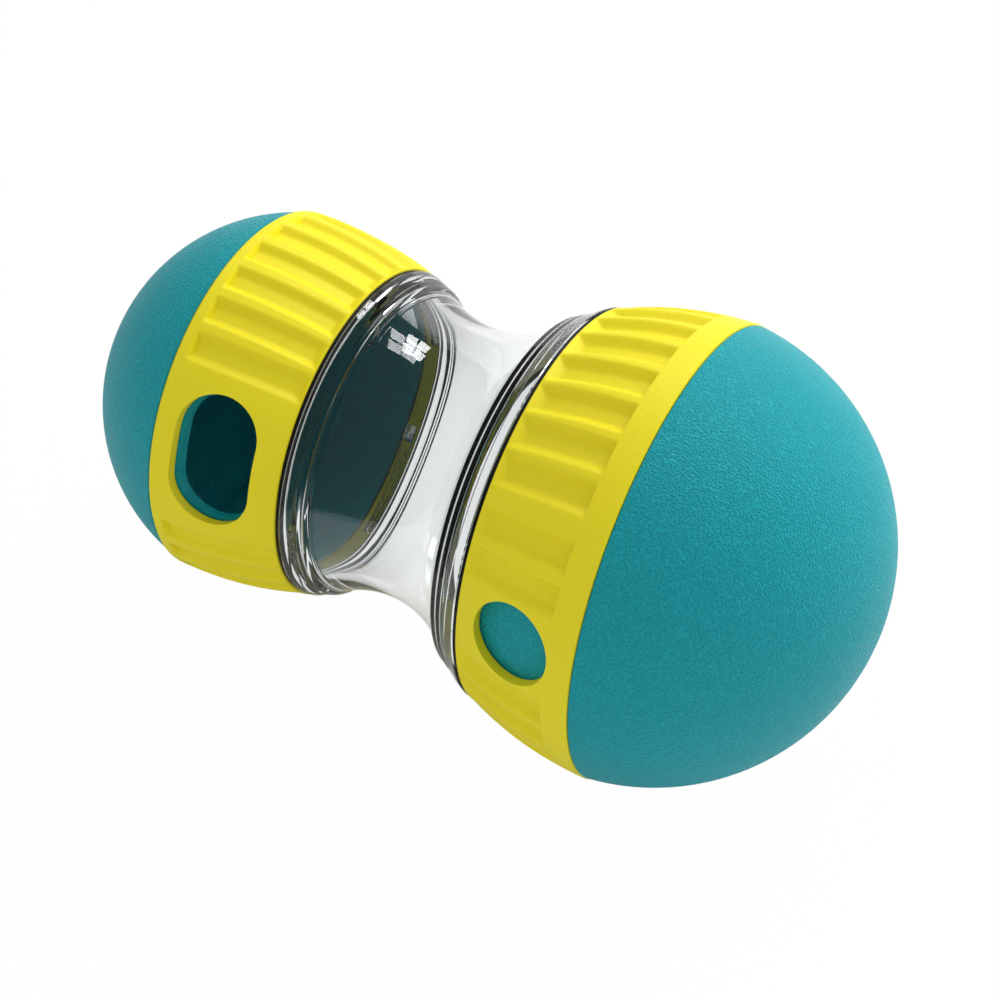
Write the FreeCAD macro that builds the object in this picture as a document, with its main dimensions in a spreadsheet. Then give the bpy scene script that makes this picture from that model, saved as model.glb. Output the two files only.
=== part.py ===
import FreeCAD, Part
import math
import os
import re
import Sketcher

# Treat dispensing toy, in millimetres and degrees.
# Two hollow balls of different size stand at the ends of a clear hourglass.
# The toy's axis is X and its origin lies on the axis, midway along the clear body.
# Each end piece is drawn along its own outward +X with its outlet window up, at +Z,
# and is then turned into place.

SHARED = {
    "ring_wall": 2.0,          # ring's wall over the sleeve
    "collar_wall": 2.6,        # ring's wall round its plain neck bore
    "collar_depth": 3.6,       # length of that bore
    "collar_step": 1.9,        # step from the bore out to the sleeve's seat
    "edge_break": 0.5,         # small chamfer on moulded edges
    "dome_break": 0.2,         # finer chamfer on the dome where it meets the ring
    "seam_gap": 0.1,           # between those two
    "run_gap": 0.3,            # between pieces that turn on each other
    "spigot_gap": 0.1,         # radial fit of the clear spigot in the ring's bore
    "seal_width": 0.6,
    "seal_inset": 0.5,         # washer's outer edge, in from the ring's edge
    "spigot_room": 0.8,        # spigot's tip, short of the end of the ring's bore
    "spigot_lead": 0.6,        # chamfer that leads the spigot in
    "clear_wall": 2.2,
    "flange_inset": 0.3,       # clear flange's edge, in from the ring's edge
    "rim_step_run": 0.4,       # length of the small step behind each clear rim
    "waist_shift": -3.5,       # narrowest place of the hourglass
    "waist_drop": 3.0,         # waist's radius, below the smaller spigot's
    "sleeve_wall": 2.2,
    "joint_step": 1.8,         # sleeve's tail, in from its outer face
    "joint_reach": 4.0,        # tail's length inside the dome
    "joint_room": 0.6,         # dome's land past the end of the tail
    "taper_run": 2.8,          # where the sleeve narrows to its tail
    "dome_wall": 2.5,
    "window_width": 15.2,      # along the axis
    "flute_margin": 0.6,       # plain edge between the neck face and the flutes
    "flute_ramp": 1.6,         # sloping end of each flute
    "flute_lift": 0.6,         # start of that slope, above the flute's floor
    "floor_share": 0.5,        # flute's width at its floor, as a share of the flutes' pitch
    "mouth_share": 1.0,        # its width at its open top, where the ring is larger
    "flute_cut": 1.9,          # height of that open top above the floor
    "flute_foot": 0.1,         # floor's start, below the neck's radius
    "flute_depth": 1.15,       # at the band, below the seam's radius
    "peg_inset": 3.8,          # stop peg, from the sleeve's front edge
    "peg_radius": 1.6,
    "peg_root": 0.35,          # peg's root, below the inside of the crown
    "slot_sink": 1.9,          # floor of the stop slot, below the sleeve's crown
}

LEFT = {
    "ball_radius": 35.57,
    "ball_centre": 34.83,
    "neck_face": 20.05,        # from the mid-plane to the ring's neck face
    "ring_width": 24.4,        # from there to the ring's seam with the dome
    "seam_stand": 0.45,        # ring's outside at the seam, proud of the ball
    "seam_break": 0.6,         # ring's chamfer at the seam
    "neck_drop": 3.1,          # ring's outside at its neck face, below the seam's
    "crown_rise": 1.07,        # bulge of the ring's outside halfway along
    "band_width": 2.7,         # plain band between the flutes and the seam
    "window_centre": 32.5,
    "window_span": 24.5,       # across the axis
    "aperture_inset": 0.6,     # sleeve's aperture, in from the window's edge
    "window_turn": 66.6,       # from straight up, about +X
    "shutter_turn": 48.0,      # ball's turn from open to closed
    "shut_at_rest": 0.0,       # part of that turn already made at rest
    "flute_start": 31.2,       # from the window's centre
    "flute_count": 26,
    "rim_reach": 15.0,         # mid-plane to the back of the clear rim
    "rim_step": 0.8,           # rim's step out from its shoulder
    "shoulder_rise": 3.1,      # shoulder's radius, above the waist's
    "bore_reach": 16.0,        # where the clear bore starts to narrow
}

RIGHT = {
    "ball_radius": 42.45,
    "ball_centre": 38.3,
    "neck_face": 19.4,
    "ring_width": 23.8,
    "seam_stand": 0.15,
    "seam_break": 0.2,
    "neck_drop": 5.0,
    "crown_rise": 1.15,
    "band_width": 5.3,
    "window_centre": 31.0,
    "aperture_inset": 1.5,
    "window_turn": 77.2,
    "shutter_turn": 30.0,
    "shut_at_rest": 1.0,
    "flute_start": 40.4,
    "flute_count": 28,
    "side_flute_start": 16.2,  # the pair of flutes on each side of the window
    "side_flute_count": 2,
    "rim_reach": 12.2,
    "rim_step": 1.1,
    "shoulder_rise": 6.3,
    "bore_reach": 15.5,
}

# Sizes that follow from the others, worked out for each end in this order.
FOLLOWING = {
    "seam_face": "END_neck_face + END_ring_width",
    "seam_radius": "sqrt(END_ball_radius ^ 2 - (END_seam_face - END_ball_centre) ^ 2) + END_seam_stand",
    "neck_radius": "END_seam_radius - END_neck_drop",
    "crown_face": "END_neck_face + END_ring_width / 2",
    "crown_radius": "(END_neck_radius + END_seam_radius) / 2 + END_crown_rise",
    "flute_pitch": "(360 - 2 * END_flute_start) / (END_flute_count - 1)",
    "flute_floor": "floor_share * END_neck_radius * END_flute_pitch * pi / 180",
    "flute_mouth": "mouth_share * END_neck_radius * END_flute_pitch * pi / 180",
    "rest_turn": "END_shutter_turn * END_shut_at_rest",
}
WAIST_RADIUS = "left_neck_radius - collar_wall - spigot_gap - waist_drop"
SHOULDER_RADIUS = "waist_radius + END_shoulder_rise"
RIM_RADIUS = "END_shoulder_radius + END_rim_step"

SIZE = dict(SHARED)
SIZE.update({"left_" + word: value for word, value in LEFT.items()})
SIZE.update({"right_" + word: value for word, value in RIGHT.items()})
WORKED = {}

AXIS_UP = FreeCAD.Vector(0, 0, 1)
AXIS_OUT = FreeCAD.Vector(1, 0, 0)
FULL_TURN = 360
HALF_TURN = 180


def fill_sheet(document):
    """Put every size in the sheet, one named cell each."""
    sheet = document.addObject("Spreadsheet::Sheet", "Sizes")
    for row, (word, value) in enumerate(SIZE.items(), start=1):
        sheet.set("A%d" % row, word)
        sheet.set("B%d" % row, str(value))
        sheet.setAlias("B%d" % row, word)
    document.recompute()


def work_out(document):
    """Work out the sizes that follow from the sheet, as properties tied to it."""
    store = document.addObject("App::VarSet", "Derived")
    ends = ("left", "right")
    steps = [(word, text, end) for end in ends for word, text in FOLLOWING.items()]
    steps.append(("waist_radius", WAIST_RADIUS, None))
    steps += [("shoulder_radius", SHOULDER_RADIUS, end) for end in ends]
    steps += [("rim_radius", RIM_RADIUS, end) for end in ends]
    for word, text, end in steps:
        name = end + "_" + word if end else word
        store.addProperty("App::PropertyFloat", name)
        store.setExpression(name, formula(text.replace("END", end or "")))
        document.recompute()
        WORKED[name] = getattr(store, name)


def amount(text):
    """The value of a sum of sizes, written as words with + and -."""
    total = 0.0
    sign = 1.0
    for word in text.split():
        if word == "+":
            sign = 1.0
        elif word == "-":
            sign = -1.0
        else:
            total += sign * (SIZE[word] if word in SIZE else WORKED[word])
    return total


def formula(text):
    """The same text as an expression that reads the sheet and what follows from it."""
    def full_name(match):
        word = match.group()
        if word in SIZE:
            return "Sizes." + word
        return "Derived." + word
    return re.sub("[a-z]+(?:_[a-z]+)+", full_name, text)


def bind(thing, name, text):
    """Tie one property to a sum of sizes."""
    thing.setExpression(name, formula(text))


def base_item(body, role):
    """The body's own origin plane or axis with this role."""
    return next(item for item in body.Origin.OriginFeatures if item.Role == role)


def new_sketch(body, name, role):
    """A sketch on one of the body's origin planes."""
    sketch = body.newObject("Sketcher::SketchObject", name)
    sketch.AttachmentSupport = [(base_item(body, role), "")]
    sketch.MapMode = "FlatFace"
    return sketch


def hold(sketch, name, kind, index, place, text):
    """Hold one point of a sketch at a named distance from its origin."""
    sketch.addConstraint(Sketcher.Constraint(kind, -1, 1, index, place, amount(text)))
    sketch.renameConstraint(sketch.ConstraintCount - 1, name)
    bind(sketch, "Constraints." + name, text)


def level_middle(start, end, centre_across):
    """Middle point of the arc through both ends whose centre lies at centre_across."""
    lift = (end.x - centre_across) ** 2 - (start.x - centre_across) ** 2
    centre_up = (end.y ** 2 - start.y ** 2 + lift) / (2 * (end.y - start.y))
    centre = FreeCAD.Vector(centre_across, centre_up, 0)
    radius = (start - centre).Length
    outward = ((start + end) * 0.5 - centre).normalize()
    return centre + outward * radius


def add_arc(sketch, start, middle, end):
    """Add an arc, drawn anticlockwise, and say which of its ends is the start."""
    turn = (middle - start).cross(end - middle).z
    if turn > 0:
        sketch.addGeometry(Part.Arc(start, middle, end), False)
        return 1, 2
    sketch.addGeometry(Part.Arc(end, middle, start), False)
    return 2, 1


def draw_outline(sketch, corners, through=None, level=None):
    """Draw a closed outline whose corners are named distances.

    corners holds (across, up) pairs of sums. A side runs from its corner to the next.
    through gives, by side, the point that an arc passes through.
    level gives, by side, where along the axis an arc's centre lies.
    """
    through = through or {}
    level = level or {}
    points = [FreeCAD.Vector(amount(across), amount(up), 0) for across, up in corners]
    ends = []
    for side, start in enumerate(points):
        end = points[(side + 1) % len(points)]
        if side in through:
            across, up = through[side]
            middle = FreeCAD.Vector(amount(across), amount(up), 0)
            ends.append(add_arc(sketch, start, middle, end))
        elif side in level:
            middle = level_middle(start, end, amount(level[side]))
            ends.append(add_arc(sketch, start, middle, end))
        else:
            sketch.addGeometry(Part.LineSegment(start, end), False)
            ends.append((1, 2))
    for side, (first, last) in enumerate(ends):
        after = (side + 1) % len(ends)
        join = Sketcher.Constraint("Coincident", side, last, after, ends[after][0])
        sketch.addConstraint(join)
    for side, (across, up) in enumerate(corners):
        hold(sketch, "across_%d" % side, "DistanceX", side, ends[side][0], across)
        hold(sketch, "up_%d" % side, "DistanceY", side, ends[side][0], up)
    for side, (across, up) in through.items():
        spot = FreeCAD.Vector(amount(across), amount(up), 0)
        dot = sketch.addGeometry(Part.Point(spot), True)
        sketch.addConstraint(Sketcher.Constraint("PointOnObject", dot, 1, side))
        hold(sketch, "crown_across_%d" % side, "DistanceX", dot, 1, across)
        hold(sketch, "crown_up_%d" % side, "DistanceY", dot, 1, up)
    for side, across in level.items():
        hold(sketch, "centre_%d" % side, "DistanceX", side, 3, across)


def turn_outline(body, name, corners, through=None, level=None):
    """Turn an outline, drawn beside the axis, into a solid of revolution."""
    sketch = new_sketch(body, name + "_outline", "XZ_Plane")
    draw_outline(sketch, corners, through, level)
    solid = body.newObject("PartDesign::Revolution", name)
    solid.Profile = sketch
    solid.ReferenceAxis = (sketch, ["H_Axis"])
    solid.Angle = FULL_TURN
    body.Tip = solid
    return solid


def slot_sketch(body, name, along, length_text, width_text):
    """A round-ended slot in the plane above the body, long across the axis."""
    sketch = new_sketch(body, name, "XY_Plane")
    radius = amount(width_text) / 2
    straight = amount(length_text) / 2 - radius
    middle = amount(along)
    near = FreeCAD.Vector(middle, -straight, 0)
    far = FreeCAD.Vector(middle, straight, 0)
    sideways = FreeCAD.Vector(radius, 0, 0)
    upward = FreeCAD.Vector(0, radius, 0)
    sketch.addGeometry(Part.Arc(far + sideways, far + upward, far - sideways), False)
    sketch.addGeometry(Part.LineSegment(far - sideways, near - sideways), False)
    sketch.addGeometry(Part.Arc(near - sideways, near - upward, near + sideways), False)
    sketch.addGeometry(Part.LineSegment(near + sideways, far + sideways), False)
    for side in range(4):
        sketch.addConstraint(Sketcher.Constraint("Tangent", side, 2, (side + 1) % 4, 1))
    sketch.addConstraint(Sketcher.Constraint("Vertical", 1))
    hold(sketch, "along", "DistanceX", 0, 3, along)
    sketch.addConstraint(Sketcher.Constraint("Symmetric", 0, 3, 2, 3, -1))
    sketch.addConstraint(Sketcher.Constraint("Radius", 0, radius))
    sketch.renameConstraint(sketch.ConstraintCount - 1, "round_end")
    sketch.setExpression("Constraints.round_end", "(%s) / 2" % formula(width_text))
    sketch.addConstraint(Sketcher.Constraint("DistanceY", 2, 3, 0, 3, 2 * straight))
    sketch.renameConstraint(sketch.ConstraintCount - 1, "straight")
    straight_text = "%s - (%s)" % (formula(length_text), formula(width_text))
    sketch.setExpression("Constraints.straight", straight_text)
    return sketch


def round_sketch(body, name, along, radius_text):
    """A round hole in the plane above the body."""
    sketch = new_sketch(body, name, "XY_Plane")
    middle = FreeCAD.Vector(amount(along), 0, 0)
    circle = Part.Circle(middle, AXIS_UP, amount(radius_text))
    sketch.addGeometry(circle, False)
    hold(sketch, "along", "DistanceX", 0, 3, along)
    sketch.addConstraint(Sketcher.Constraint("PointOnObject", 0, 3, -1))
    sketch.addConstraint(Sketcher.Constraint("Radius", 0, amount(radius_text)))
    sketch.renameConstraint(sketch.ConstraintCount - 1, "hole")
    bind(sketch, "Constraints.hole", radius_text)
    return sketch


def cut_upward(body, name, sketch, reach_text):
    """Cut the sketch's outline through the wall that lies above the axis."""
    before = body.Tip
    pocket = body.newObject("PartDesign::Pocket", name)
    pocket.Profile = sketch
    pocket.Type = 0
    pocket.Length = amount(reach_text)
    bind(pocket, "Length", reach_text)
    pocket.Reversed = True
    body.Tip = pocket
    body.Document.recompute()
    check_cut(before, pocket)
    return pocket


def check_cut(before, after):
    """A cut that points the wrong way removes nothing, so compare the volumes."""
    if after.Shape.Volume > before.Shape.Volume - 1.0:
        raise RuntimeError(after.Label + " removes nothing")


def place(piece, end, turn):
    """Turn a finished end piece about the axis, and face it outward at its own end."""
    about_axis = FreeCAD.Rotation(AXIS_OUT, turn)
    facing = FreeCAD.Rotation(AXIS_UP, HALF_TURN if end == "left" else 0)
    both = about_axis.multiply(facing)
    piece.Placement = FreeCAD.Placement(FreeCAD.Vector(0, 0, 0), both)


def window_sketch(body, name, end, inset):
    """Outline of the outlet: long across one ball and round on the other."""
    along = end + "_window_centre"
    width = "window_width" + inset
    if end + "_window_span" in SIZE:
        return slot_sketch(body, name, along, end + "_window_span" + inset, width)
    sketch = round_sketch(body, name, along, "window_width")
    sketch.setExpression("Constraints.hole", "(%s) / 2" % formula(width))
    return sketch


def build_hourglass(document):
    """Clear hourglass with a rim and a plain spigot at each end."""
    body = document.addObject("PartDesign::Body", "hourglass_body")
    corners = []
    for end, sign, back in (("left", "- ", " + "), ("right", "", " - ")):
        forth = " - " if back == " + " else " + "
        flange = sign + end + "_neck_face" + back + "seal_width"
        tip = sign + end + "_neck_face" + forth + "collar_depth" + back + "spigot_room"
        spigot = end + "_neck_radius - collar_wall - spigot_gap"
        edge = end + "_neck_radius - flange_inset"
        bore = spigot + " - clear_wall"
        shoulder = sign + end + "_rim_reach" + back + "rim_step_run"
        run = [
            (sign + end + "_bore_reach", bore),
            (tip, bore),
            (tip, spigot + " - spigot_lead"),
            (tip + back + "spigot_lead", spigot),
            (flange, spigot),
            (flange, edge + " - edge_break"),
            (flange + back + "edge_break", edge),
            (sign + end + "_rim_reach", end + "_rim_radius"),
            (shoulder, end + "_shoulder_radius"),
        ]
        corners.append(run)
    left, right = corners
    waist = [("waist_shift", "waist_radius")]
    inner_waist = [("waist_shift", "waist_radius - clear_wall")]
    outline = left + waist + list(reversed(right)) + inner_waist
    after_left = len(left) - 1
    level = {
        after_left: "waist_shift",
        after_left + 1: "waist_shift",
        len(outline) - 2: "waist_shift",
        len(outline) - 1: "waist_shift",
    }
    turn_outline(body, "hourglass", outline, level=level)
    return body


def flute_lines(end):
    """Where a flute's floor starts, how long it is and how far it climbs."""
    along = end + "_neck_face + flute_margin + flute_ramp"
    level = end + "_neck_radius - flute_foot"
    run = "%s_ring_width - flute_margin - flute_ramp - %s_band_width" % (end, end)
    rise = "%s_seam_radius - flute_depth - %s_neck_radius + flute_foot" % (end, end)
    return along, level, run, rise


def flute_plane(body, name, start_text):
    """Plane through the axis, turned to the first flute."""
    plane = body.newObject("PartDesign::Plane", name + "_plane")
    plane.AttachmentSupport = [(base_item(body, "XZ_Plane"), "")]
    plane.MapMode = "FlatFace"
    turn = FreeCAD.Rotation(AXIS_OUT, amount(start_text))
    plane.AttachmentOffset = FreeCAD.Placement(FreeCAD.Vector(0, 0, 0), turn)
    bind(plane, "AttachmentOffset.Rotation.Angle", start_text)
    return plane


def flute_scoop(body, end, name, plane):
    """One flute: flat floor, flared sides, a step at the band and a ramp at the neck."""
    along, level, run, rise = flute_lines(end)
    scoop = body.newObject("PartDesign::SubtractiveWedge", name + "_scoop")
    scoop.AttachmentSupport = [(plane, "")]
    scoop.MapMode = "FlatFace"
    foot = FreeCAD.Vector(amount(along), amount(level), 0)
    slope = math.degrees(math.atan(amount(rise) / amount(run)))
    scoop.AttachmentOffset = FreeCAD.Placement(foot, FreeCAD.Rotation(AXIS_UP, slope))
    bind(scoop, "AttachmentOffset.Base.x", along)
    bind(scoop, "AttachmentOffset.Base.y", level)
    slope_text = "atan((%s) / (%s))" % (formula(rise), formula(run))
    scoop.setExpression("AttachmentOffset.Rotation.Angle", slope_text)
    ramp_reach = SIZE["flute_ramp"] * SIZE["flute_cut"] / SIZE["flute_lift"]
    scoop.Xmin, scoop.Xmax = 0, amount(run)
    scoop.X2min, scoop.X2max = -ramp_reach, amount(run)
    scoop.Ymin, scoop.Ymax = 0, SIZE["flute_cut"]
    scoop.setExpression("X2min", "-Sizes.flute_ramp * Sizes.flute_cut / Sizes.flute_lift")
    bind(scoop, "Xmax", run)
    bind(scoop, "X2max", run)
    bind(scoop, "Ymax", "flute_cut")
    half_floor = amount(end + "_flute_floor") / 2
    half_mouth = amount(end + "_flute_mouth") / 2
    scoop.Zmin, scoop.Zmax = -half_floor, half_floor
    scoop.Z2min, scoop.Z2max = -half_mouth, half_mouth
    for side, width in (("Z", end + "_flute_floor"), ("Z2", end + "_flute_mouth")):
        scoop.setExpression(side + "min", "-(%s) / 2" % formula(width))
        scoop.setExpression(side + "max", "(%s) / 2" % formula(width))
    return scoop


def add_flutes(body, end, name, start_text, count_text):
    """A run of equal flutes, stepped round the ring."""
    scoop = flute_scoop(body, end, name, flute_plane(body, name, start_text))
    before = body.Tip
    body.Tip = scoop
    body.Document.recompute()
    pattern = body.newObject("PartDesign::PolarPattern", name)
    pattern.Originals = [scoop]
    pattern.Axis = (base_item(body, "X_Axis"), [""])
    pattern.Mode = "Spacing"
    pattern.Occurrences = int(SIZE[count_text])
    pattern.Offset = amount(end + "_flute_pitch")
    bind(pattern, "Occurrences", count_text)
    bind(pattern, "Offset", end + "_flute_pitch")
    body.Tip = pattern
    body.Document.recompute()
    check_cut(before, pattern)


def build_ring(document, end):
    """Grip ring: fluted outside, outlet window, plain neck bore and a stop peg."""
    body = document.addObject("PartDesign::Body", end + "_grip_ring")
    face = end + "_neck_face"
    seam = end + "_seam_face"
    bore = end + "_neck_radius - collar_wall"
    corners = [
        (face, bore),
        (face, end + "_neck_radius"),
        (seam + " - %s_seam_break" % end, end + "_seam_radius"),
        (seam, end + "_seam_radius - %s_seam_break" % end),
        (seam, end + "_seam_radius - ring_wall"),
        (face + " + collar_depth", bore + " + collar_step"),
        (face + " + collar_depth", bore),
    ]
    crown = end + "_crown_radius"
    through = {
        1: (end + "_crown_face", crown),
        4: (end + "_crown_face", crown + " - ring_wall"),
    }
    turn_outline(body, "ring_shell", corners, through=through)
    document.recompute()
    add_flutes(body, end, "flutes", end + "_flute_start", end + "_flute_count")
    if end + "_side_flute_count" in SIZE:
        add_side_flutes(body, end)
    window = window_sketch(body, "window_outline", end, "")
    cut_upward(body, "window", window, crown + " + ring_wall")
    add_peg(body, end)
    place(body, end, SIZE[end + "_window_turn"])
    return body


def add_side_flutes(body, end):
    """The few flutes that stand apart on each side of the window."""
    count = end + "_side_flute_count"
    near = end + "_side_flute_start"
    add_flutes(body, end, "near_flutes", near, count)
    add_flutes(body, end, "far_flutes", "- %s - %s_flute_pitch" % (near, end), count)


def peg_place(end):
    """Where the stop peg and its slot lie along the axis."""
    return end + "_neck_face + collar_depth + run_gap + peg_inset"


def slot_floor(end):
    """Radius of the floor of the stop slot."""
    return end + "_crown_radius - ring_wall - run_gap - slot_sink"


def add_peg(body, end):
    """Stop peg that stands inward from the ring's wall, opposite the window."""
    sketch = round_sketch(body, "peg_outline", peg_place(end), "peg_radius")
    tip = slot_floor(end) + " + run_gap"
    reach = "slot_sink - peg_root"
    drop = FreeCAD.Vector(0, 0, -amount(tip))
    sketch.AttachmentOffset = FreeCAD.Placement(drop, FreeCAD.Rotation())
    sketch.setExpression("AttachmentOffset.Base.z", "-(%s)" % formula(tip))
    before = body.Tip
    peg = body.newObject("PartDesign::Pad", "stop_peg")
    peg.Profile = sketch
    peg.Type = 0
    peg.Length = amount(reach)
    bind(peg, "Length", reach)
    peg.Reversed = True
    body.Tip = peg
    body.Document.recompute()
    if peg.Shape.Volume < before.Shape.Volume + 1.0:
        raise RuntimeError("the stop peg adds nothing")


def build_sleeve(document, end):
    """Outlet sleeve: turns inside the ring and opens or shuts its window."""
    body = document.addObject("PartDesign::Body", end + "_outlet_sleeve")
    front = end + "_neck_face + collar_depth + run_gap"
    shoulder = end + "_seam_face + seam_gap"
    nose = end + "_neck_radius - collar_wall + collar_step - run_gap"
    outer = end + "_seam_radius - ring_wall - run_gap"
    tail = outer + " - joint_step"
    crown = end + "_crown_radius - ring_wall - run_gap"
    corners = [
        (front, nose + " - sleeve_wall"),
        (front, nose),
        (shoulder, outer),
        (shoulder, tail),
        (shoulder + " + joint_reach", tail),
        (shoulder + " + joint_reach", tail + " - sleeve_wall"),
        (shoulder, tail + " - sleeve_wall"),
        (shoulder + " - taper_run", outer + " - sleeve_wall"),
        (end + "_crown_face", crown + " - sleeve_wall"),
    ]
    turn_outline(body, "sleeve_shell", corners, through={1: (end + "_crown_face", crown)})
    document.recompute()
    inset = " - %s_aperture_inset" % end
    aperture = window_sketch(body, "aperture_outline", end, inset + inset)
    cut_upward(body, "aperture", aperture, end + "_crown_radius")
    cut_stop_slot(body, end)
    place(body, end, shutter_place(end))
    return body


def cut_stop_slot(body, end):
    """Blind slot that holds the peg along the axis and stops the turn at both ends."""
    middle = peg_place(end)
    floor = slot_floor(end)
    roof = end + "_seam_radius"
    near = middle + " - peg_radius - run_gap"
    far = middle + " + peg_radius + run_gap"
    sketch = new_sketch(body, "slot_outline", "XZ_Plane")
    half_turn = SIZE[end + "_shutter_turn"] / 2
    lean = FreeCAD.Rotation(AXIS_OUT, half_turn)
    sketch.AttachmentOffset = FreeCAD.Placement(FreeCAD.Vector(0, 0, 0), lean)
    sketch.setExpression("AttachmentOffset.Rotation.Angle", "Sizes.%s_shutter_turn / 2" % end)
    low = "- " + negated(floor)
    draw_outline(sketch, [(near, low), (near, "- " + roof), (far, "- " + roof), (far, low)])
    before = body.Tip
    slot = body.newObject("PartDesign::Groove", "stop_slot")
    slot.Profile = sketch
    slot.ReferenceAxis = (sketch, ["H_Axis"])
    slot.Midplane = True
    half_peg = math.degrees(math.asin(amount("peg_radius + run_gap") / amount(floor)))
    slot.Angle = 2 * half_turn + 2 * half_peg
    spread = "Sizes.%s_shutter_turn * 1 deg + 2 * asin((%s) / (%s))"
    slot.setExpression("Angle", spread % (end, formula("peg_radius + run_gap"), formula(floor)))
    body.Tip = slot
    body.Document.recompute()
    check_cut(before, slot)


def negated(text):
    """The words of a sum with every sign after the first turned round."""
    swap = {"+": "-", "-": "+"}
    return " ".join(swap.get(word, word) for word in text.split())


def shutter_place(end):
    """Turn of the sleeve and dome at rest, measured like the window's."""
    outward = -1 if end == "left" else 1
    return SIZE[end + "_window_turn"] - outward * amount(end + "_rest_turn")


def dome_corners(end):
    """Corners of the dome's outline, and the named distances that hold them."""
    face_text = end + "_seam_face + seam_gap"
    bore_text = end + "_seam_radius - ring_wall - run_gap - joint_step + spigot_gap"
    land_text = face_text + " + joint_reach + joint_room"
    face, bore, land = amount(face_text), amount(bore_text), amount(land_text)
    edge = SIZE["dome_break"]
    centre = SIZE[end + "_ball_centre"]
    ball = SIZE[end + "_ball_radius"]
    hollow = ball - SIZE["dome_wall"]
    rim_height = math.sqrt(ball ** 2 - (face + edge - centre) ** 2)
    land_height = math.sqrt(hollow ** 2 - (land - centre) ** 2)
    points = [
        FreeCAD.Vector(face, bore, 0),
        FreeCAD.Vector(face, rim_height - edge, 0),
        FreeCAD.Vector(face + edge, rim_height, 0),
        FreeCAD.Vector(centre + ball, 0, 0),
        FreeCAD.Vector(centre + hollow, 0, 0),
        FreeCAD.Vector(land, land_height, 0),
        FreeCAD.Vector(land, bore, 0),
    ]
    return points, face_text, bore_text, land_text


def draw_dome(sketch, end):
    """Half section of the dome: two arcs about the ball's centre, and its open edge."""
    points, face, bore, land = dome_corners(end)
    middle = FreeCAD.Vector(SIZE[end + "_ball_centre"], 0, 0)
    ball = SIZE[end + "_ball_radius"]
    hollow = ball - SIZE["dome_wall"]
    slant = FreeCAD.Vector(1, 1, 0).normalize()
    sketch.addGeometry(Part.LineSegment(points[0], points[1]), False)
    sketch.addGeometry(Part.LineSegment(points[1], points[2]), False)
    sketch.addGeometry(Part.Arc(points[3], middle + slant * ball, points[2]), False)
    sketch.addGeometry(Part.LineSegment(points[3], points[4]), False)
    sketch.addGeometry(Part.Arc(points[4], middle + slant * hollow, points[5]), False)
    sketch.addGeometry(Part.LineSegment(points[5], points[6]), False)
    sketch.addGeometry(Part.LineSegment(points[6], points[0]), False)
    joins = [(0, 2, 1, 1), (1, 2, 2, 2), (2, 1, 3, 1), (3, 2, 4, 1)]
    joins += [(4, 2, 5, 1), (5, 2, 6, 1), (6, 2, 0, 1)]
    for first, first_end, second, second_end in joins:
        join = Sketcher.Constraint("Coincident", first, first_end, second, second_end)
        sketch.addConstraint(join)
    sketch.addConstraint(Sketcher.Constraint("Vertical", 0))
    sketch.addConstraint(Sketcher.Constraint("PointOnObject", 3, 1, -1))
    sketch.addConstraint(Sketcher.Constraint("PointOnObject", 3, 2, -1))
    sketch.addConstraint(Sketcher.Constraint("Vertical", 5))
    sketch.addConstraint(Sketcher.Constraint("Horizontal", 6))
    sketch.addConstraint(Sketcher.Constraint("PointOnObject", 2, 3, -1))
    sketch.addConstraint(Sketcher.Constraint("Coincident", 2, 3, 4, 3))
    hold(sketch, "face", "DistanceX", 0, 1, face)
    hold(sketch, "bore", "DistanceY", 0, 1, bore)
    hold(sketch, "land", "DistanceX", 5, 1, land)
    hold(sketch, "centre", "DistanceX", 2, 3, end + "_ball_centre")
    for name, kind in (("rim_run", "DistanceX"), ("rim_rise", "DistanceY")):
        sketch.addConstraint(Sketcher.Constraint(kind, 1, 1, 1, 2, SIZE["dome_break"]))
        sketch.renameConstraint(sketch.ConstraintCount - 1, name)
        bind(sketch, "Constraints." + name, "dome_break")
    for name, arc, radius, text in (
        ("ball", 2, ball, end + "_ball_radius"),
        ("hollow", 4, hollow, end + "_ball_radius - dome_wall"),
    ):
        sketch.addConstraint(Sketcher.Constraint("Radius", arc, radius))
        sketch.renameConstraint(sketch.ConstraintCount - 1, name)
        bind(sketch, "Constraints." + name, text)


def build_dome(document, end):
    """Hollow ball end, open where the sleeve's tail enters it."""
    body = document.addObject("PartDesign::Body", end + "_dome")
    sketch = new_sketch(body, "dome_outline", "XZ_Plane")
    draw_dome(sketch, end)
    shell = body.newObject("PartDesign::Revolution", "dome_shell")
    shell.Profile = sketch
    shell.ReferenceAxis = (sketch, ["H_Axis"])
    shell.Angle = FULL_TURN
    body.Tip = shell
    place(body, end, shutter_place(end))
    return body


def build_seal(document, end):
    """Flat washer between the clear flange and the ring's neck face."""
    body = document.addObject("PartDesign::Body", end + "_neck_seal")
    face = end + "_neck_face"
    flange = face + " - seal_width"
    inner = end + "_neck_radius - collar_wall"
    outer = end + "_neck_radius - seal_inset"
    corners = [(flange, inner), (flange, outer), (face, outer), (face, inner)]
    turn_outline(body, "washer", corners)
    place(body, end, 0)
    return body


def check_document(document, pieces):
    """Stop if any feature failed or any piece has no sound solid."""
    for item in document.Objects:
        if "Invalid" in item.State or "Error" in item.State:
            raise RuntimeError(item.Label + " failed to build")
    for piece in pieces:
        shape = piece.Shape
        if shape.isNull() or not shape.isValid() or len(shape.Solids) != 1:
            raise RuntimeError(piece.Label + " is not one sound solid")


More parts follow.
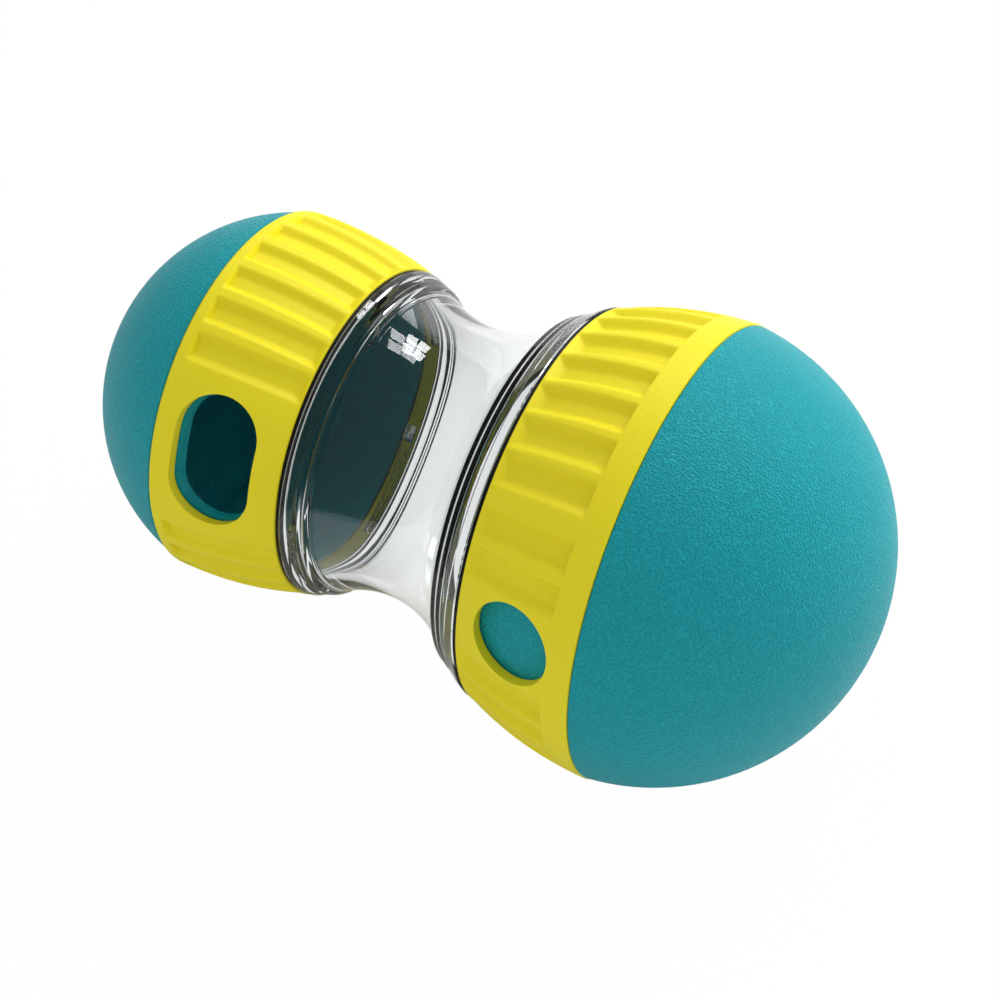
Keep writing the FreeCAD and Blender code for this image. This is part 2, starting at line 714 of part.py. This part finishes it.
def main():
    document = FreeCAD.newDocument("treat_toy")
    fill_sheet(document)
    work_out(document)
    pieces = [build_hourglass(document)]
    for end in ("left", "right"):
        pieces.append(build_seal(document, end))
        pieces.append(build_ring(document, end))
        pieces.append(build_sleeve(document, end))
        pieces.append(build_dome(document, end))
    document.recompute()
    check_document(document, pieces)
    os.makedirs("parts", exist_ok=True)
    for piece in pieces:
        piece.Shape.exportStep("parts/%s.step" % piece.Label)


main()
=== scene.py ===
import bpy
import math
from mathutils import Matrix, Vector


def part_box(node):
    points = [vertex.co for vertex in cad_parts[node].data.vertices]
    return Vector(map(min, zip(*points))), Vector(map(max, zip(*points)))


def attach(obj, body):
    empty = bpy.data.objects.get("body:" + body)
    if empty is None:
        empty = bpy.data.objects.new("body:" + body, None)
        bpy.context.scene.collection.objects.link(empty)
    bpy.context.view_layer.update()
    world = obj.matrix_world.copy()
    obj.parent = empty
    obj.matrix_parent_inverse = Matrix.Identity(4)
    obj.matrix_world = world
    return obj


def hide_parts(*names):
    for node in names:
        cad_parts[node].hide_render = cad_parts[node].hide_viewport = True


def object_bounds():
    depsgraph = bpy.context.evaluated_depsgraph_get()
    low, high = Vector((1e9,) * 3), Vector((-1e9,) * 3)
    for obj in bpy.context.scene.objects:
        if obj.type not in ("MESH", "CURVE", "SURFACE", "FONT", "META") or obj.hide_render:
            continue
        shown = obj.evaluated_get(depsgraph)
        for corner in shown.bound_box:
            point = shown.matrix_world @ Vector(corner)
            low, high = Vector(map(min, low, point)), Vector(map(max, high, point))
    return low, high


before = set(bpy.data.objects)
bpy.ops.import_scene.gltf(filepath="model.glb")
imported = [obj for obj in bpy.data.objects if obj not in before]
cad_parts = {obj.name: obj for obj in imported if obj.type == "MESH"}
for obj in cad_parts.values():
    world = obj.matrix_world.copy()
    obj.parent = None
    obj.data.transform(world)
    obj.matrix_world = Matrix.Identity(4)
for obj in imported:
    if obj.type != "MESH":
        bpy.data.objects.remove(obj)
cad_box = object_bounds()


# The clear hourglass is one polished plastic moulding, open at both ends. Each end has a rim
# with round grooves, and a short spigot whose steep thread lugs screw into the grip ring. It
# is lathed about the toy's axis, in millimetres; the lugs are swept round it and joined on.

hourglass_steps = 192       # faces round the axis
hourglass_crease = 32       # degrees, past which an edge stays sharp
weld = 0.000001             # metres, under which two points are one
waist_along = -3.5
waist_radius = 25.9
waist_wall = 2.2
waist_parts = {"left": 14, "right": 18}
flare_from = 1.2            # from the bore's start to its flare, and to the flare's end
flare_to = 1.4
flare_out = 0.35
spigot_reach = 2.8          # past the ring's neck face
spigot_chamfer = 0.3
seal_space = 0.6            # left for the seal between the rim and the ring
rim_round = ((0, 0.4), (0.1, 0.12), (0.35, 0))      # in from the rim's face, down from its edge
rim_swell = 0.2             # rim's bulge between its edge and its grooves
groove_count = 2
groove_parts = 6            # points across a groove
groove_start = 0.3
groove_share = 0.5          # of the rim's width
shoulder_break = 0.1        # down from the rim's foot, before the slope to the shoulder
shoulder_run = 0.4
lug_count = 4
lug_steps = 24
lug_span = 50               # degrees round the spigot
lug_lead = 12.0             # forward for a full turn
lug_start = 0.2             # past the ring's neck face
lug_height = 0.6
lug_shortening = 0.05       # crest under the spigot's full radius
lug_root = 0.3              # how deep the lugs are rooted in the spigot
lug_width = 0.9
lug_slope = 0.2
# Radii, apart from bore_start and rim_back, which are places along the axis, and the depth.
clear_ends = {
    "left": {"bore_start": 16.0, "bore": 26.7, "spigot": 28.9, "edge": 31.3, "rim_back": 15.0,
             "rim_foot": 29.8, "shoulder": 29.0, "groove_depth": 0.3},
    "right": {"bore_start": 15.5, "bore": 32.4, "spigot": 34.6, "edge": 37.0, "rim_back": 12.2,
              "rim_foot": 33.3, "shoulder": 32.2, "groove_depth": 0.25},
}


def draw(points):
    """Draw a closed outline of (along, radius) points, in millimetres, and stay in edit mode."""
    bpy.ops.object.select_all(action="DESELECT")
    bpy.ops.mesh.primitive_plane_add(size=0.001, location=(0, 0, 0))
    bpy.ops.object.mode_set(mode="EDIT")
    bpy.ops.mesh.select_all(action="SELECT")
    bpy.ops.mesh.merge(type="CENTER")
    here = (0, 0)
    for along, radius in points:
        step = ((along - here[0]) / 1000, 0, (radius - here[1]) / 1000)
        if here == (0, 0):
            bpy.ops.transform.translate(value=step)
        else:
            bpy.ops.mesh.extrude_region_move(TRANSFORM_OT_translate={"value": step})
        here = (along, radius)
    bpy.ops.mesh.select_all(action="SELECT")
    bpy.ops.mesh.edge_face_add()
    return bpy.context.object


def close_skin():
    """Merge the doubles of the mesh in edit mode and turn its faces outwards."""
    bpy.ops.mesh.select_all(action="SELECT")
    bpy.ops.mesh.remove_doubles(threshold=weld)
    bpy.ops.mesh.normals_make_consistent(inside=False)


def lathe(name, points, steps):
    """Spin a closed outline about the X axis."""
    piece = draw(points)
    piece.name = name
    piece.data.name = name
    bpy.ops.mesh.delete(type="ONLY_FACE")
    bpy.ops.mesh.select_all(action="SELECT")
    bpy.ops.mesh.spin(steps=steps, angle=math.tau, center=(0, 0, 0), axis=(1, 0, 0))
    close_skin()
    bpy.ops.object.mode_set(mode="OBJECT")
    bpy.ops.object.transform_apply(location=True, rotation=True, scale=True)
    return piece


def waist_arc(start, end, parts):
    """Points between start and end on the arc whose centre lies over the waist."""
    lift = (end[0] - waist_along) ** 2 - (start[0] - waist_along) ** 2
    centre = (end[1] ** 2 - start[1] ** 2 + lift) / (2 * (end[1] - start[1]))
    radius = math.hypot(start[0] - waist_along, start[1] - centre)
    first = math.atan2(start[1] - centre, start[0] - waist_along)
    last = math.atan2(end[1] - centre, end[0] - waist_along)
    turned = [first + (last - first) * part / parts for part in range(1, parts)]
    return [(waist_along + radius * math.cos(t), centre + radius * math.sin(t)) for t in turned]


def grooves(start, end, rise, depth):
    """Points down the rim's cone from end to start, with the round grooves in it."""
    parts = groove_count * groove_parts
    spots = [end + (start - end) * part / parts for part in range(parts + 1)]
    sinks = [depth * (1 - math.cos(math.tau * part / groove_parts)) / 2 for part in range(parts + 1)]
    return [(along, rise(along) - sink) for along, sink in zip(spots, sinks)]


def end_outline(end, face):
    """One end of the outline, from its bore round the spigot and rim to its shoulder.

    Its spigot stands in the grip ring's neck, whose face lies at the given place.
    """
    size = clear_ends[end]
    side = math.copysign(1, face)
    start, bore = size["bore_start"], size["bore"]
    back, foot, edge = size["rim_back"], size["rim_foot"], size["edge"]
    thread = size["spigot"] - lug_height
    tip = abs(face) + spigot_reach
    rim = abs(face) - seal_space
    slope = (edge - foot) / (rim - back)
    grooved = back + groove_share * (rim - back)
    swell = (rim + grooved) / 2

    def rise(along):
        return foot + slope * (along - back)

    run = [
        (start, bore),
        (start + flare_from, bore),
        (start + flare_to, bore + flare_out),
        (tip, bore + flare_out),
        (tip, thread - spigot_chamfer),
        (tip - spigot_chamfer, thread),
        (rim, thread),
    ]
    run += [(rim - inward, edge - down) for inward, down in rim_round]
    run.append((swell, rise(swell) + rim_swell))
    run += grooves(back + groove_start, grooved, rise, size["groove_depth"])
    run += [
        (back, foot - shoulder_break),
        (back - shoulder_run / 2, (foot + size["shoulder"]) / 2),
        (back - shoulder_run, size["shoulder"]),
    ]
    return [(side * along, radius) for along, radius in run]


def add_lugs(body, end, face):
    """Sweep the steep thread lugs round one spigot and join them to the body."""
    side = math.copysign(1, face)
    thread = clear_ends[end]["spigot"] - lug_height
    root = thread - lug_root
    crest = thread + lug_height - lug_shortening
    first = abs(face) + lug_start
    last = first + lug_width
    outline = [(first, root), (first + lug_slope, crest), (last - lug_slope, crest), (last, root)]
    for number in range(lug_count):
        lug = draw([(side * along, radius) for along, radius in outline])
        bpy.ops.object.mode_set(mode="OBJECT")
        bpy.ops.object.transform_apply(location=True, rotation=True, scale=True)
        sweep = lug.modifiers.new("sweep", "SCREW")
        sweep.axis = "X"
        sweep.angle = math.radians(lug_span)
        sweep.screw_offset = side * lug_lead * lug_span / 360 / 1000
        sweep.steps = lug_steps
        sweep.render_steps = lug_steps
        bpy.ops.object.modifier_apply(modifier="sweep")
        bpy.ops.object.mode_set(mode="EDIT")
        close_skin()
        turn = math.tau * number / lug_count
        bpy.ops.transform.rotate(value=turn, orient_axis="X", center_override=(0, 0, 0))
        bpy.ops.object.mode_set(mode="OBJECT")
        join = body.modifiers.new("join_lug", "BOOLEAN")
        join.operation = "UNION"
        join.solver = "EXACT"
        join.object = lug
        bpy.context.view_layer.objects.active = body
        bpy.ops.object.modifier_apply(modifier="join_lug")
        bpy.data.objects.remove(lug)


def smooth(piece, crease):
    """Shade a piece smooth, apart from its edges sharper than the crease, in degrees."""
    bpy.ops.object.select_all(action="DESELECT")
    piece.select_set(True)
    bpy.ops.object.shade_smooth_by_angle(angle=math.radians(crease))


left_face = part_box("left_grip_ring")[1][0] * 1000
right_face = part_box("right_grip_ring")[0][0] * 1000
left_end = end_outline("left", left_face)
right_end = end_outline("right", right_face)
outer_waist = (waist_along, waist_radius)
inner_waist = (waist_along, waist_radius - waist_wall)
hourglass_outline = (
    left_end + waist_arc(left_end[-1], outer_waist, waist_parts["left"]) + [outer_waist]
    + waist_arc(outer_waist, right_end[-1], waist_parts["right"]) + right_end[::-1]
    + waist_arc(right_end[0], inner_waist, waist_parts["right"]) + [inner_waist]
    + waist_arc(inner_waist, left_end[0], waist_parts["left"])
)
hourglass = lathe("clear_hourglass", hourglass_outline, hourglass_steps)
add_lugs(hourglass, "left", left_face)
add_lugs(hourglass, "right", right_face)
smooth(hourglass, hourglass_crease)


def new_material(name):
    """A new material, with its nodes, its links and its main shader."""
    material = bpy.data.materials.new(name)
    material.use_nodes = True
    nodes = material.node_tree.nodes
    return material, nodes, material.node_tree.links, nodes["Principled BSDF"]


def pattern(nodes, links, kind, scale):
    """A texture node of the given kind, laid out in the piece's own space."""
    place = nodes.new("ShaderNodeTexCoord")
    texture = nodes.new(kind)
    texture.inputs["Scale"].default_value = scale
    links.new(place.outputs["Object"], texture.inputs["Vector"])
    return texture


def uneven_roughness(nodes, links, shader, scale, low, high):
    """Let the roughness wander between low and high in soft patches."""
    patches = pattern(nodes, links, "ShaderNodeTexNoise", scale)
    spread = nodes.new("ShaderNodeMapRange")
    spread.inputs["To Min"].default_value = low
    spread.inputs["To Max"].default_value = high
    links.new(patches.outputs["Fac"], spread.inputs["Value"])
    links.new(spread.outputs["Result"], shader.inputs["Roughness"])
    return patches


clear, nodes, links, shader = new_material("clear_polished_plastic")
shader.inputs["Base Color"].default_value = (0.985, 0.995, 1.0, 1)
shader.inputs["Transmission Weight"].default_value = 1.0
shader.inputs["IOR"].default_value = 1.49
smears = uneven_roughness(nodes, links, shader, scale=60, low=0.0, high=0.03)
smears.inputs["Detail"].default_value = 3
tint = nodes.new("ShaderNodeVolumeAbsorption")
tint.inputs["Color"].default_value = (0.58, 0.62, 0.61, 1)
tint.inputs["Density"].default_value = 45
links.new(tint.outputs["Volume"], nodes["Material Output"].inputs["Volume"])
hourglass.data.materials.append(clear)
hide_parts("hourglass_body")
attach(hourglass, "clear_body")


# The two neck seals are flat washers of thin black rubber, a little dusty. Each is pinched
# between the clear rim and the grip ring's neck face, and stays the solid's own mesh.

rubber, nodes, links, shader = new_material("black_rubber")
shader.inputs["Base Color"].default_value = (0.006, 0.006, 0.007, 1)
shader.inputs["Specular IOR Level"].default_value = 0.3
uneven_roughness(nodes, links, shader, scale=900, low=0.45, high=0.65)


def dress(node, material):
    """Give a solid's own mesh its material."""
    node.data.materials.clear()
    node.data.materials.append(material)


for end in ("left", "right"):
    dress(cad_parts[end + "_neck_seal"], rubber)


# The grip rings are injection mouldings in yellow plastic with a fine sandy texture. Each is
# lathed as a fine skin, and its flutes are sunk in as wide grooves with soft crests between
# them. The outlet window is then cut and the stop peg joined on inside.

ring_steps = 840            # faces round the axis
ring_crease = 35            # degrees, past which an edge stays sharp
crown_parts = 84
lining_parts = 8
ring_wall = 2.0
neck_round = (0.15, 0.2)    # along the crown, and down the neck face
seam_round = 0.05
collar_wall = 2.6
collar_depth = 3.6
collar_step = 1.9
window_width = 15.2
window_points = 128         # round a full turn of the window's ends
peg_reach = 7.7
peg_radius = 1.6
peg_points = 48
flute_margin = 0.3          # plain edge between the neck face and the flutes
flute_lean = 0.95           # the flutes' sides, out for each millimetre up
flute_step = 0.12           # the flutes' ends at the band, likewise
flute_round = 0.4           # softness of every edge
floor_share = 0.42          # a flute's floor, as a share of the pitch at the neck
plain_neck = 0.2            # the skin stays as lathed this near to the neck face
plain_seam = 1.0            # and this near to the seam
skin_margin = 0.4           # the skin lies no deeper than this under its chord
ring_yellows = ((0.84, 0.720, 0.008, 1), (0.87, 0.765, 0.012, 1))
# Radii at the neck, crown and seam; flutes hold the first one's turn from the window and how
# many there are; near_flute is the turn of a pair beside the window; turns are in degrees.
ring_sizes = {
    "left": {"neck": 31.59, "crown": 34.21, "seam": 34.69, "chamfer": 0.6, "band": 2.7,
             "flutes": (31.2, 26), "near_flute": None, "ramp": 1.2, "depth": 1.25,
             "window_along": 32.5, "window_span": 24.5, "window_turn": 66.6, "peg": (30.3, 31.9)},
    "right": {"neck": 37.32, "crown": 40.97, "seam": 42.32, "chamfer": 0.2, "band": 5.3,
              "flutes": (40.4, 28), "near_flute": 16.2, "ramp": 2.0, "depth": 1.55,
              "window_along": 31.0, "window_span": 15.2, "window_turn": 77.2, "peg": (37.06, 38.6)},
}


def crown_arc(start, middle, end, parts):
    """Points from start to end on the arc that passes through middle."""
    first, second = Vector(middle) - Vector(start), Vector(end) - Vector(start)
    double_area = 2 * (first.x * second.y - first.y * second.x)
    across = (second.y * first.length_squared - first.y * second.length_squared) / double_area
    up = (first.x * second.length_squared - second.x * first.length_squared) / double_area
    radius = math.hypot(across, up)
    turn_a = math.atan2(-up, -across)
    turn_b = math.atan2(second.y - up, second.x - across)
    turns = [turn_a + (turn_b - turn_a) * part / parts for part in range(parts + 1)]
    return [(start[0] + across + radius * math.cos(t), start[1] + up + radius * math.sin(t))
            for t in turns]


def ring_skin(end, side, face, seam):
    """The ring without flutes or window."""
    size = ring_sizes[end]
    neck, crown, chamfer = size["neck"], size["crown"], size["chamfer"]
    bore = neck - collar_wall
    middle = (face + seam) / 2
    outside = crown_arc((face + neck_round[0], neck), (middle, crown),
                        (seam - chamfer, size["seam"]), crown_parts)
    inside = crown_arc((seam, size["seam"] - ring_wall), (middle, crown - ring_wall),
                       (face + collar_depth, bore + collar_step), lining_parts)
    outline = [(face, bore), (face, neck - neck_round[1])]
    outline += outside
    outline.append((seam - seam_round, size["seam"] - chamfer + seam_round))
    outline.append((seam, size["seam"] - chamfer - seam_round))
    outline += inside + [(face + collar_depth, bore)]
    placed = [(side * along, radius) for along, radius in outline]
    return lathe(end + "_soft_grip_ring", placed, ring_steps)


def soft_least(first, second):
    """The smaller of two heights, rounded where they cross."""
    near = max(flute_round - abs(first - second), 0) / flute_round
    return min(first, second) - near * near * flute_round / 4


def flute_heights(size, face, seam):
    """The pitch, the flutes' turns from the window, and a flute's height at any place."""
    start, count = size["flutes"]
    pitch = (360 - 2 * start) / (count - 1)
    turns = [start + pitch * number for number in range(count)]
    if size["near_flute"]:
        near = size["near_flute"]
        turns += [near, near + pitch, 360 - near, 360 - near - pitch]
    half_floor = floor_share * size["neck"] * math.radians(pitch) / 2
    first = face + flute_margin + size["ramp"]
    last = seam - size["band"]

    def height(along, across, surface):
        floor = surface - size["depth"]
        bank = floor + (across - half_floor) / flute_lean
        ramp = floor + (first - along) * size["depth"] / size["ramp"]
        step = floor + (along - last) / flute_step
        return -soft_least(soft_least(-floor, -bank), soft_least(-ramp, -step))

    return pitch, turns, height


def sink_flutes(ring, end, side, face, seam):
    """Sink the flutes into the lathed skin."""
    size = ring_sizes[end]
    pitch, turns, height = flute_heights(size, face, seam)
    for vertex in ring.data.vertices:
        along = side * vertex.co.x * 1000
        radius = math.hypot(vertex.co.y, vertex.co.z) * 1000
        chord = size["neck"] + (size["seam"] - size["neck"]) * (along - face) / (seam - face)
        if not face + plain_neck < along < seam - plain_seam or radius <= chord - skin_margin:
            continue
        turn = math.degrees(math.atan2(-vertex.co.y, vertex.co.z)) - size["window_turn"]
        off = min(abs((turn - flute + 180) % 360 - 180) for flute in turns)
        if off < pitch:
            sunk = soft_least(radius, height(along, math.radians(off) * radius, radius))
            vertex.co.yz = vertex.co.yz * (sunk / radius)


def change(piece, tool, operation, turn):
    """Turn a tool about the toy's axis and cut it from the piece, or join it on."""
    bpy.ops.object.select_all(action="DESELECT")
    tool.select_set(True)
    bpy.ops.object.transform_apply(location=True, rotation=True, scale=True)
    tool.rotation_euler = (math.radians(turn), 0, 0)
    bpy.ops.object.transform_apply(location=True, rotation=True, scale=True)
    step = piece.modifiers.new("step", "BOOLEAN")
    step.operation = operation
    step.solver = "EXACT"
    step.object = tool
    bpy.context.view_layer.objects.active = piece
    bpy.ops.object.modifier_apply(modifier="step")
    bpy.data.objects.remove(tool)


def window_tool(along, span, reach):
    """A prism with round ends, as long as the window, that stands through the wall."""
    half = (span - window_width) / 2
    bpy.ops.object.select_all(action="DESELECT")
    bpy.ops.mesh.primitive_cylinder_add(
        vertices=window_points, radius=window_width / 2000, depth=reach / 1000,
        location=(along / 1000, -half / 1000, reach / 1000))
    tool = bpy.context.object
    bpy.ops.object.transform_apply(location=True, rotation=True, scale=True)
    if half > 0:
        bpy.ops.object.mode_set(mode="EDIT")
        bpy.ops.mesh.select_all(action="SELECT")
        bpy.ops.mesh.duplicate_move(TRANSFORM_OT_translate={"value": (0, 2 * half / 1000, 0)})
        bpy.ops.mesh.select_all(action="SELECT")
        bpy.ops.mesh.convex_hull()
        bpy.ops.object.mode_set(mode="OBJECT")
    return tool


def peg_tool(along, low, high):
    """The stop peg, opposite the window, between two radii that end in the ring and its wall."""
    bpy.ops.object.select_all(action="DESELECT")
    bpy.ops.mesh.primitive_cylinder_add(
        vertices=peg_points, radius=peg_radius / 1000, depth=(high - low) / 1000,
        location=(along / 1000, 0, -(low + high) / 2000))
    return bpy.context.object


def soft_ring(end):
    """One finished grip ring."""
    side = -1 if end == "left" else 1
    size = ring_sizes[end]
    low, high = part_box(end + "_grip_ring")
    face, seam = sorted((abs(low[0]) * 1000, abs(high[0]) * 1000))
    ring = ring_skin(end, side, face, seam)
    sink_flutes(ring, end, side, face, seam)
    window = window_tool(side * size["window_along"], size["window_span"], size["crown"])
    change(ring, window, "DIFFERENCE", size["window_turn"])
    change(ring, peg_tool(side * (face + peg_reach), *size["peg"]), "UNION", size["window_turn"])
    smooth(ring, ring_crease)
    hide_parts(end + "_grip_ring")
    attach(ring, end + "_ring")
    return ring


def mix_colours(nodes, links, shader, share, colours):
    """Colour the surface between two colours, by a pattern's output."""
    shade = nodes.new("ShaderNodeMix")
    shade.data_type = "RGBA"
    shade.inputs["A"].default_value = colours[0]
    shade.inputs["B"].default_value = colours[1]
    links.new(share, shade.inputs["Factor"])
    links.new(shade.outputs["Result"], shader.inputs["Base Color"])


def raise_grain(nodes, links, shader, height, strength, distance):
    """Raise a fine grain on the surface, by a pattern's output."""
    bump = nodes.new("ShaderNodeBump")
    bump.inputs["Strength"].default_value = strength
    bump.inputs["Distance"].default_value = distance
    links.new(height, bump.inputs["Height"])
    links.new(bump.outputs["Normal"], shader.inputs["Normal"])


yellow, nodes, links, shader = new_material("sandy_yellow_plastic")
shader.inputs["Roughness"].default_value = 0.55
shader.inputs["Specular IOR Level"].default_value = 0.3
blotches = pattern(nodes, links, "ShaderNodeTexNoise", scale=35)
mix_colours(nodes, links, shader, blotches.outputs["Fac"], ring_yellows)
sand = pattern(nodes, links, "ShaderNodeTexNoise", scale=2400)
sand.inputs["Detail"].default_value = 2
raise_grain(nodes, links, shader, sand.outputs["Fac"], strength=0.4, distance=0.00015)
for end in ("left", "right"):
    soft_ring(end).data.materials.append(yellow)


# Each ball is an outlet sleeve welded to its dome, both moulded in teal plastic with a fine
# leathery grain of small cells, raised by a bump. Their pits get painted shade: they are
# coloured darker than the ridges between them. They stay the solids' own meshes.

# The teal of the grain's pits, darkened as painted shade, and the teal of its ridges.
pit_shade_and_ridge_teals = ((0.004, 0.250, 0.293, 1), (0.012, 0.390, 0.445, 1))

teal, nodes, links, shader = new_material("grained_teal_plastic")
shader.inputs["Specular IOR Level"].default_value = 0.15
uneven_roughness(nodes, links, shader, scale=30, low=0.4, high=0.6)
cells = pattern(nodes, links, "ShaderNodeTexVoronoi", scale=2600)
# Painted shade: the cells that raise the bump also colour their pits darker than their ridges.
mix_colours(nodes, links, shader, cells.outputs["Distance"], pit_shade_and_ridge_teals)
raise_grain(nodes, links, shader, cells.outputs["Distance"], strength=0.9, distance=0.0002)
for end in ("left", "right"):
    dress(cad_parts[end + "_outlet_sleeve"], teal)
    dress(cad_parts[end + "_dome"], teal)


# The floor is a plain white sheet that the toy lies on, from here on in metres. It shows as
# white to the camera, straight and through the clear moulding, and keeps a soft shadow.

floor_size = 6
floor_gap = 0.0005          # under the toy's lowest point
floor_white = 0.985         # share of pure white in what the camera sees


def any_ray(nodes, links, kinds):
    """An output that is 1 on rays of any of the given kinds, and 0 on others."""
    ray = nodes.new("ShaderNodeLightPath")
    found = ray.outputs[kinds[0]]
    for kind in kinds[1:]:
        either = nodes.new("ShaderNodeMath")
        either.operation = "MAXIMUM"
        links.new(found, either.inputs[0])
        links.new(ray.outputs[kind], either.inputs[1])
        found = either.outputs[0]
    return found


def scaled(nodes, links, output, factor):
    """An output times a factor."""
    product = nodes.new("ShaderNodeMath")
    product.operation = "MULTIPLY"
    product.inputs[1].default_value = factor
    links.new(output, product.inputs[0])
    return product.outputs[0]


toy_foot = cad_box[0][2]
bpy.ops.object.select_all(action="DESELECT")
bpy.ops.mesh.primitive_plane_add(size=floor_size, location=(0, 0, toy_foot - floor_gap))
floor = bpy.context.object
floor.name = "floor"
white, nodes, links, shader = new_material("white_floor")
shader.inputs["Base Color"].default_value = (0.9, 0.9, 0.9, 1)
shader.inputs["Roughness"].default_value = 0.9
glow = nodes.new("ShaderNodeEmission")
glow.inputs["Color"].default_value = (1, 1, 1, 1)
seen = any_ray(nodes, links, ("Is Camera Ray", "Is Transmission Ray"))
blend = nodes.new("ShaderNodeMixShader")
links.new(scaled(nodes, links, seen, floor_white), blend.inputs[0])
links.new(shader.outputs[0], blend.inputs[1])
links.new(glow.outputs[0], blend.inputs[2])
links.new(blend.outputs[0], nodes["Material Output"].inputs["Surface"])
floor.data.materials.append(white)


# A black tent stands over the camera's side of the toy, and a black cloth lies on the table in
# front of it, both out of the picture. As in product photography they keep the clear
# moulding's edges dark. They light and shade nothing; only reflections show a faint pale veil.

tent_radius = 0.8
tent_segments = 48
tent_edge = 0.3             # how far behind the toy's axis the tent still reaches, at its foot
tent_lean = math.radians(40)
tent_veil = 0.2
cloth_size = 1.4
cloth_edge = -0.15          # the cloth's far edge, in front of the toy's axis
cloth_gap = 0.0003          # under the toy's lowest point


def drape(name):
    """Name the newest object, hide it from all but reflections, and give it black cloth."""
    screen = bpy.context.object
    screen.name = name
    screen.visible_camera = False
    screen.visible_diffuse = False
    screen.visible_shadow = False
    screen.data.materials.append(black)


black, nodes, links, shader = new_material("black_cloth")
shader.inputs["Base Color"].default_value = (0.01, 0.01, 0.01, 1)
shader.inputs["Roughness"].default_value = 1.0
shader.inputs["Specular IOR Level"].default_value = 0.0
shader.inputs["Emission Color"].default_value = (0.9, 1.0, 0.97, 1)
reflected = any_ray(nodes, links, ("Is Glossy Ray",))
links.new(scaled(nodes, links, reflected, tent_veil), shader.inputs["Emission Strength"])

bpy.ops.object.select_all(action="DESELECT")
bpy.ops.mesh.primitive_uv_sphere_add(
    segments=tent_segments, ring_count=tent_segments // 2, radius=tent_radius, location=(0, 0, 0))
bpy.ops.object.mode_set(mode="EDIT")
bpy.ops.mesh.select_all(action="SELECT")
lean = (0, math.cos(tent_lean), -math.sin(tent_lean))
bpy.ops.mesh.bisect(plane_co=(0, tent_edge, 0), plane_no=lean, clear_outer=True)
bpy.ops.mesh.select_all(action="SELECT")
bpy.ops.mesh.bisect(plane_co=(0, 0, toy_foot), plane_no=(0, 0, -1), clear_outer=True)
bpy.ops.object.mode_set(mode="OBJECT")
drape("black_tent")

bpy.ops.object.select_all(action="DESELECT")
bpy.ops.mesh.primitive_plane_add(
    size=cloth_size, location=(0, cloth_edge - cloth_size / 2, toy_foot - cloth_gap))
drape("black_table_cloth")


# The studio has a white surround, one broad key light from behind and to the right, and a small
# window of four panes that shows only in the clear moulding's reflections. The camera looks
# down from the front, from the larger ball's side.

surround_light = 0.68       # on the toy; the camera and reflections see it as 1
key_place = (0.27, 0.68, 0.55)
key_size = 0.8
key_power = 8
window_place = (-0.02, 0.4, 0.57)
pane_forward = 0.8          # how far a pane comes forward, and rises, for its height in the window
pane_rise = 0.6
pane_offset = 0.055
pane_size = 0.095
pane_power = 0.45
camera_place = (0.1663, -0.2904, 0.3358)
camera_down = 45.7574       # degrees under level
camera_turn = 28.6358       # degrees round to the left
camera_lens = 94.761

world = bpy.data.worlds.new("studio")
bpy.context.scene.world = world
world.use_nodes = True
nodes = world.node_tree.nodes
links = world.node_tree.links
sky = nodes["Background"]
sky.inputs["Color"].default_value = (1, 1, 1, 1)
level = nodes.new("ShaderNodeMapRange")
level.inputs["To Min"].default_value = surround_light
level.inputs["To Max"].default_value = 1.0
shown = any_ray(nodes, links, ("Is Camera Ray", "Is Transmission Ray", "Is Glossy Ray"))
links.new(shown, level.inputs["Value"])
links.new(level.outputs["Result"], sky.inputs["Strength"])


def soft_box(name, place, size, power):
    """A square light of the given size that faces the toy."""
    data = bpy.data.lights.new(name, "AREA")
    data.size = size
    data.energy = power
    box = bpy.data.objects.new(name, data)
    bpy.context.scene.collection.objects.link(box)
    box.location = place
    box.rotation_euler = Vector(place).to_track_quat("Z", "Y").to_euler()
    return box


soft_box("key", key_place, key_size, key_power).visible_glossy = False
for across in (-pane_offset, pane_offset):
    for up in (-pane_offset, pane_offset):
        pane_place = (window_place[0] + across, window_place[1] - up * pane_forward,
                      window_place[2] + up * pane_rise)
        soft_box("window", pane_place, pane_size, pane_power).visible_diffuse = False

camera_data = bpy.data.cameras.new("camera")
camera_data.sensor_width = 36
camera_data.lens = camera_lens
camera_data.clip_start = 0.01
camera = bpy.data.objects.new("camera", camera_data)
bpy.context.scene.collection.objects.link(camera)
camera.location = camera_place
camera.rotation_euler = (math.radians(90 - camera_down), 0, math.radians(camera_turn))
bpy.context.scene.camera = camera
bpy.context.scene.view_settings.view_transform = "Standard"
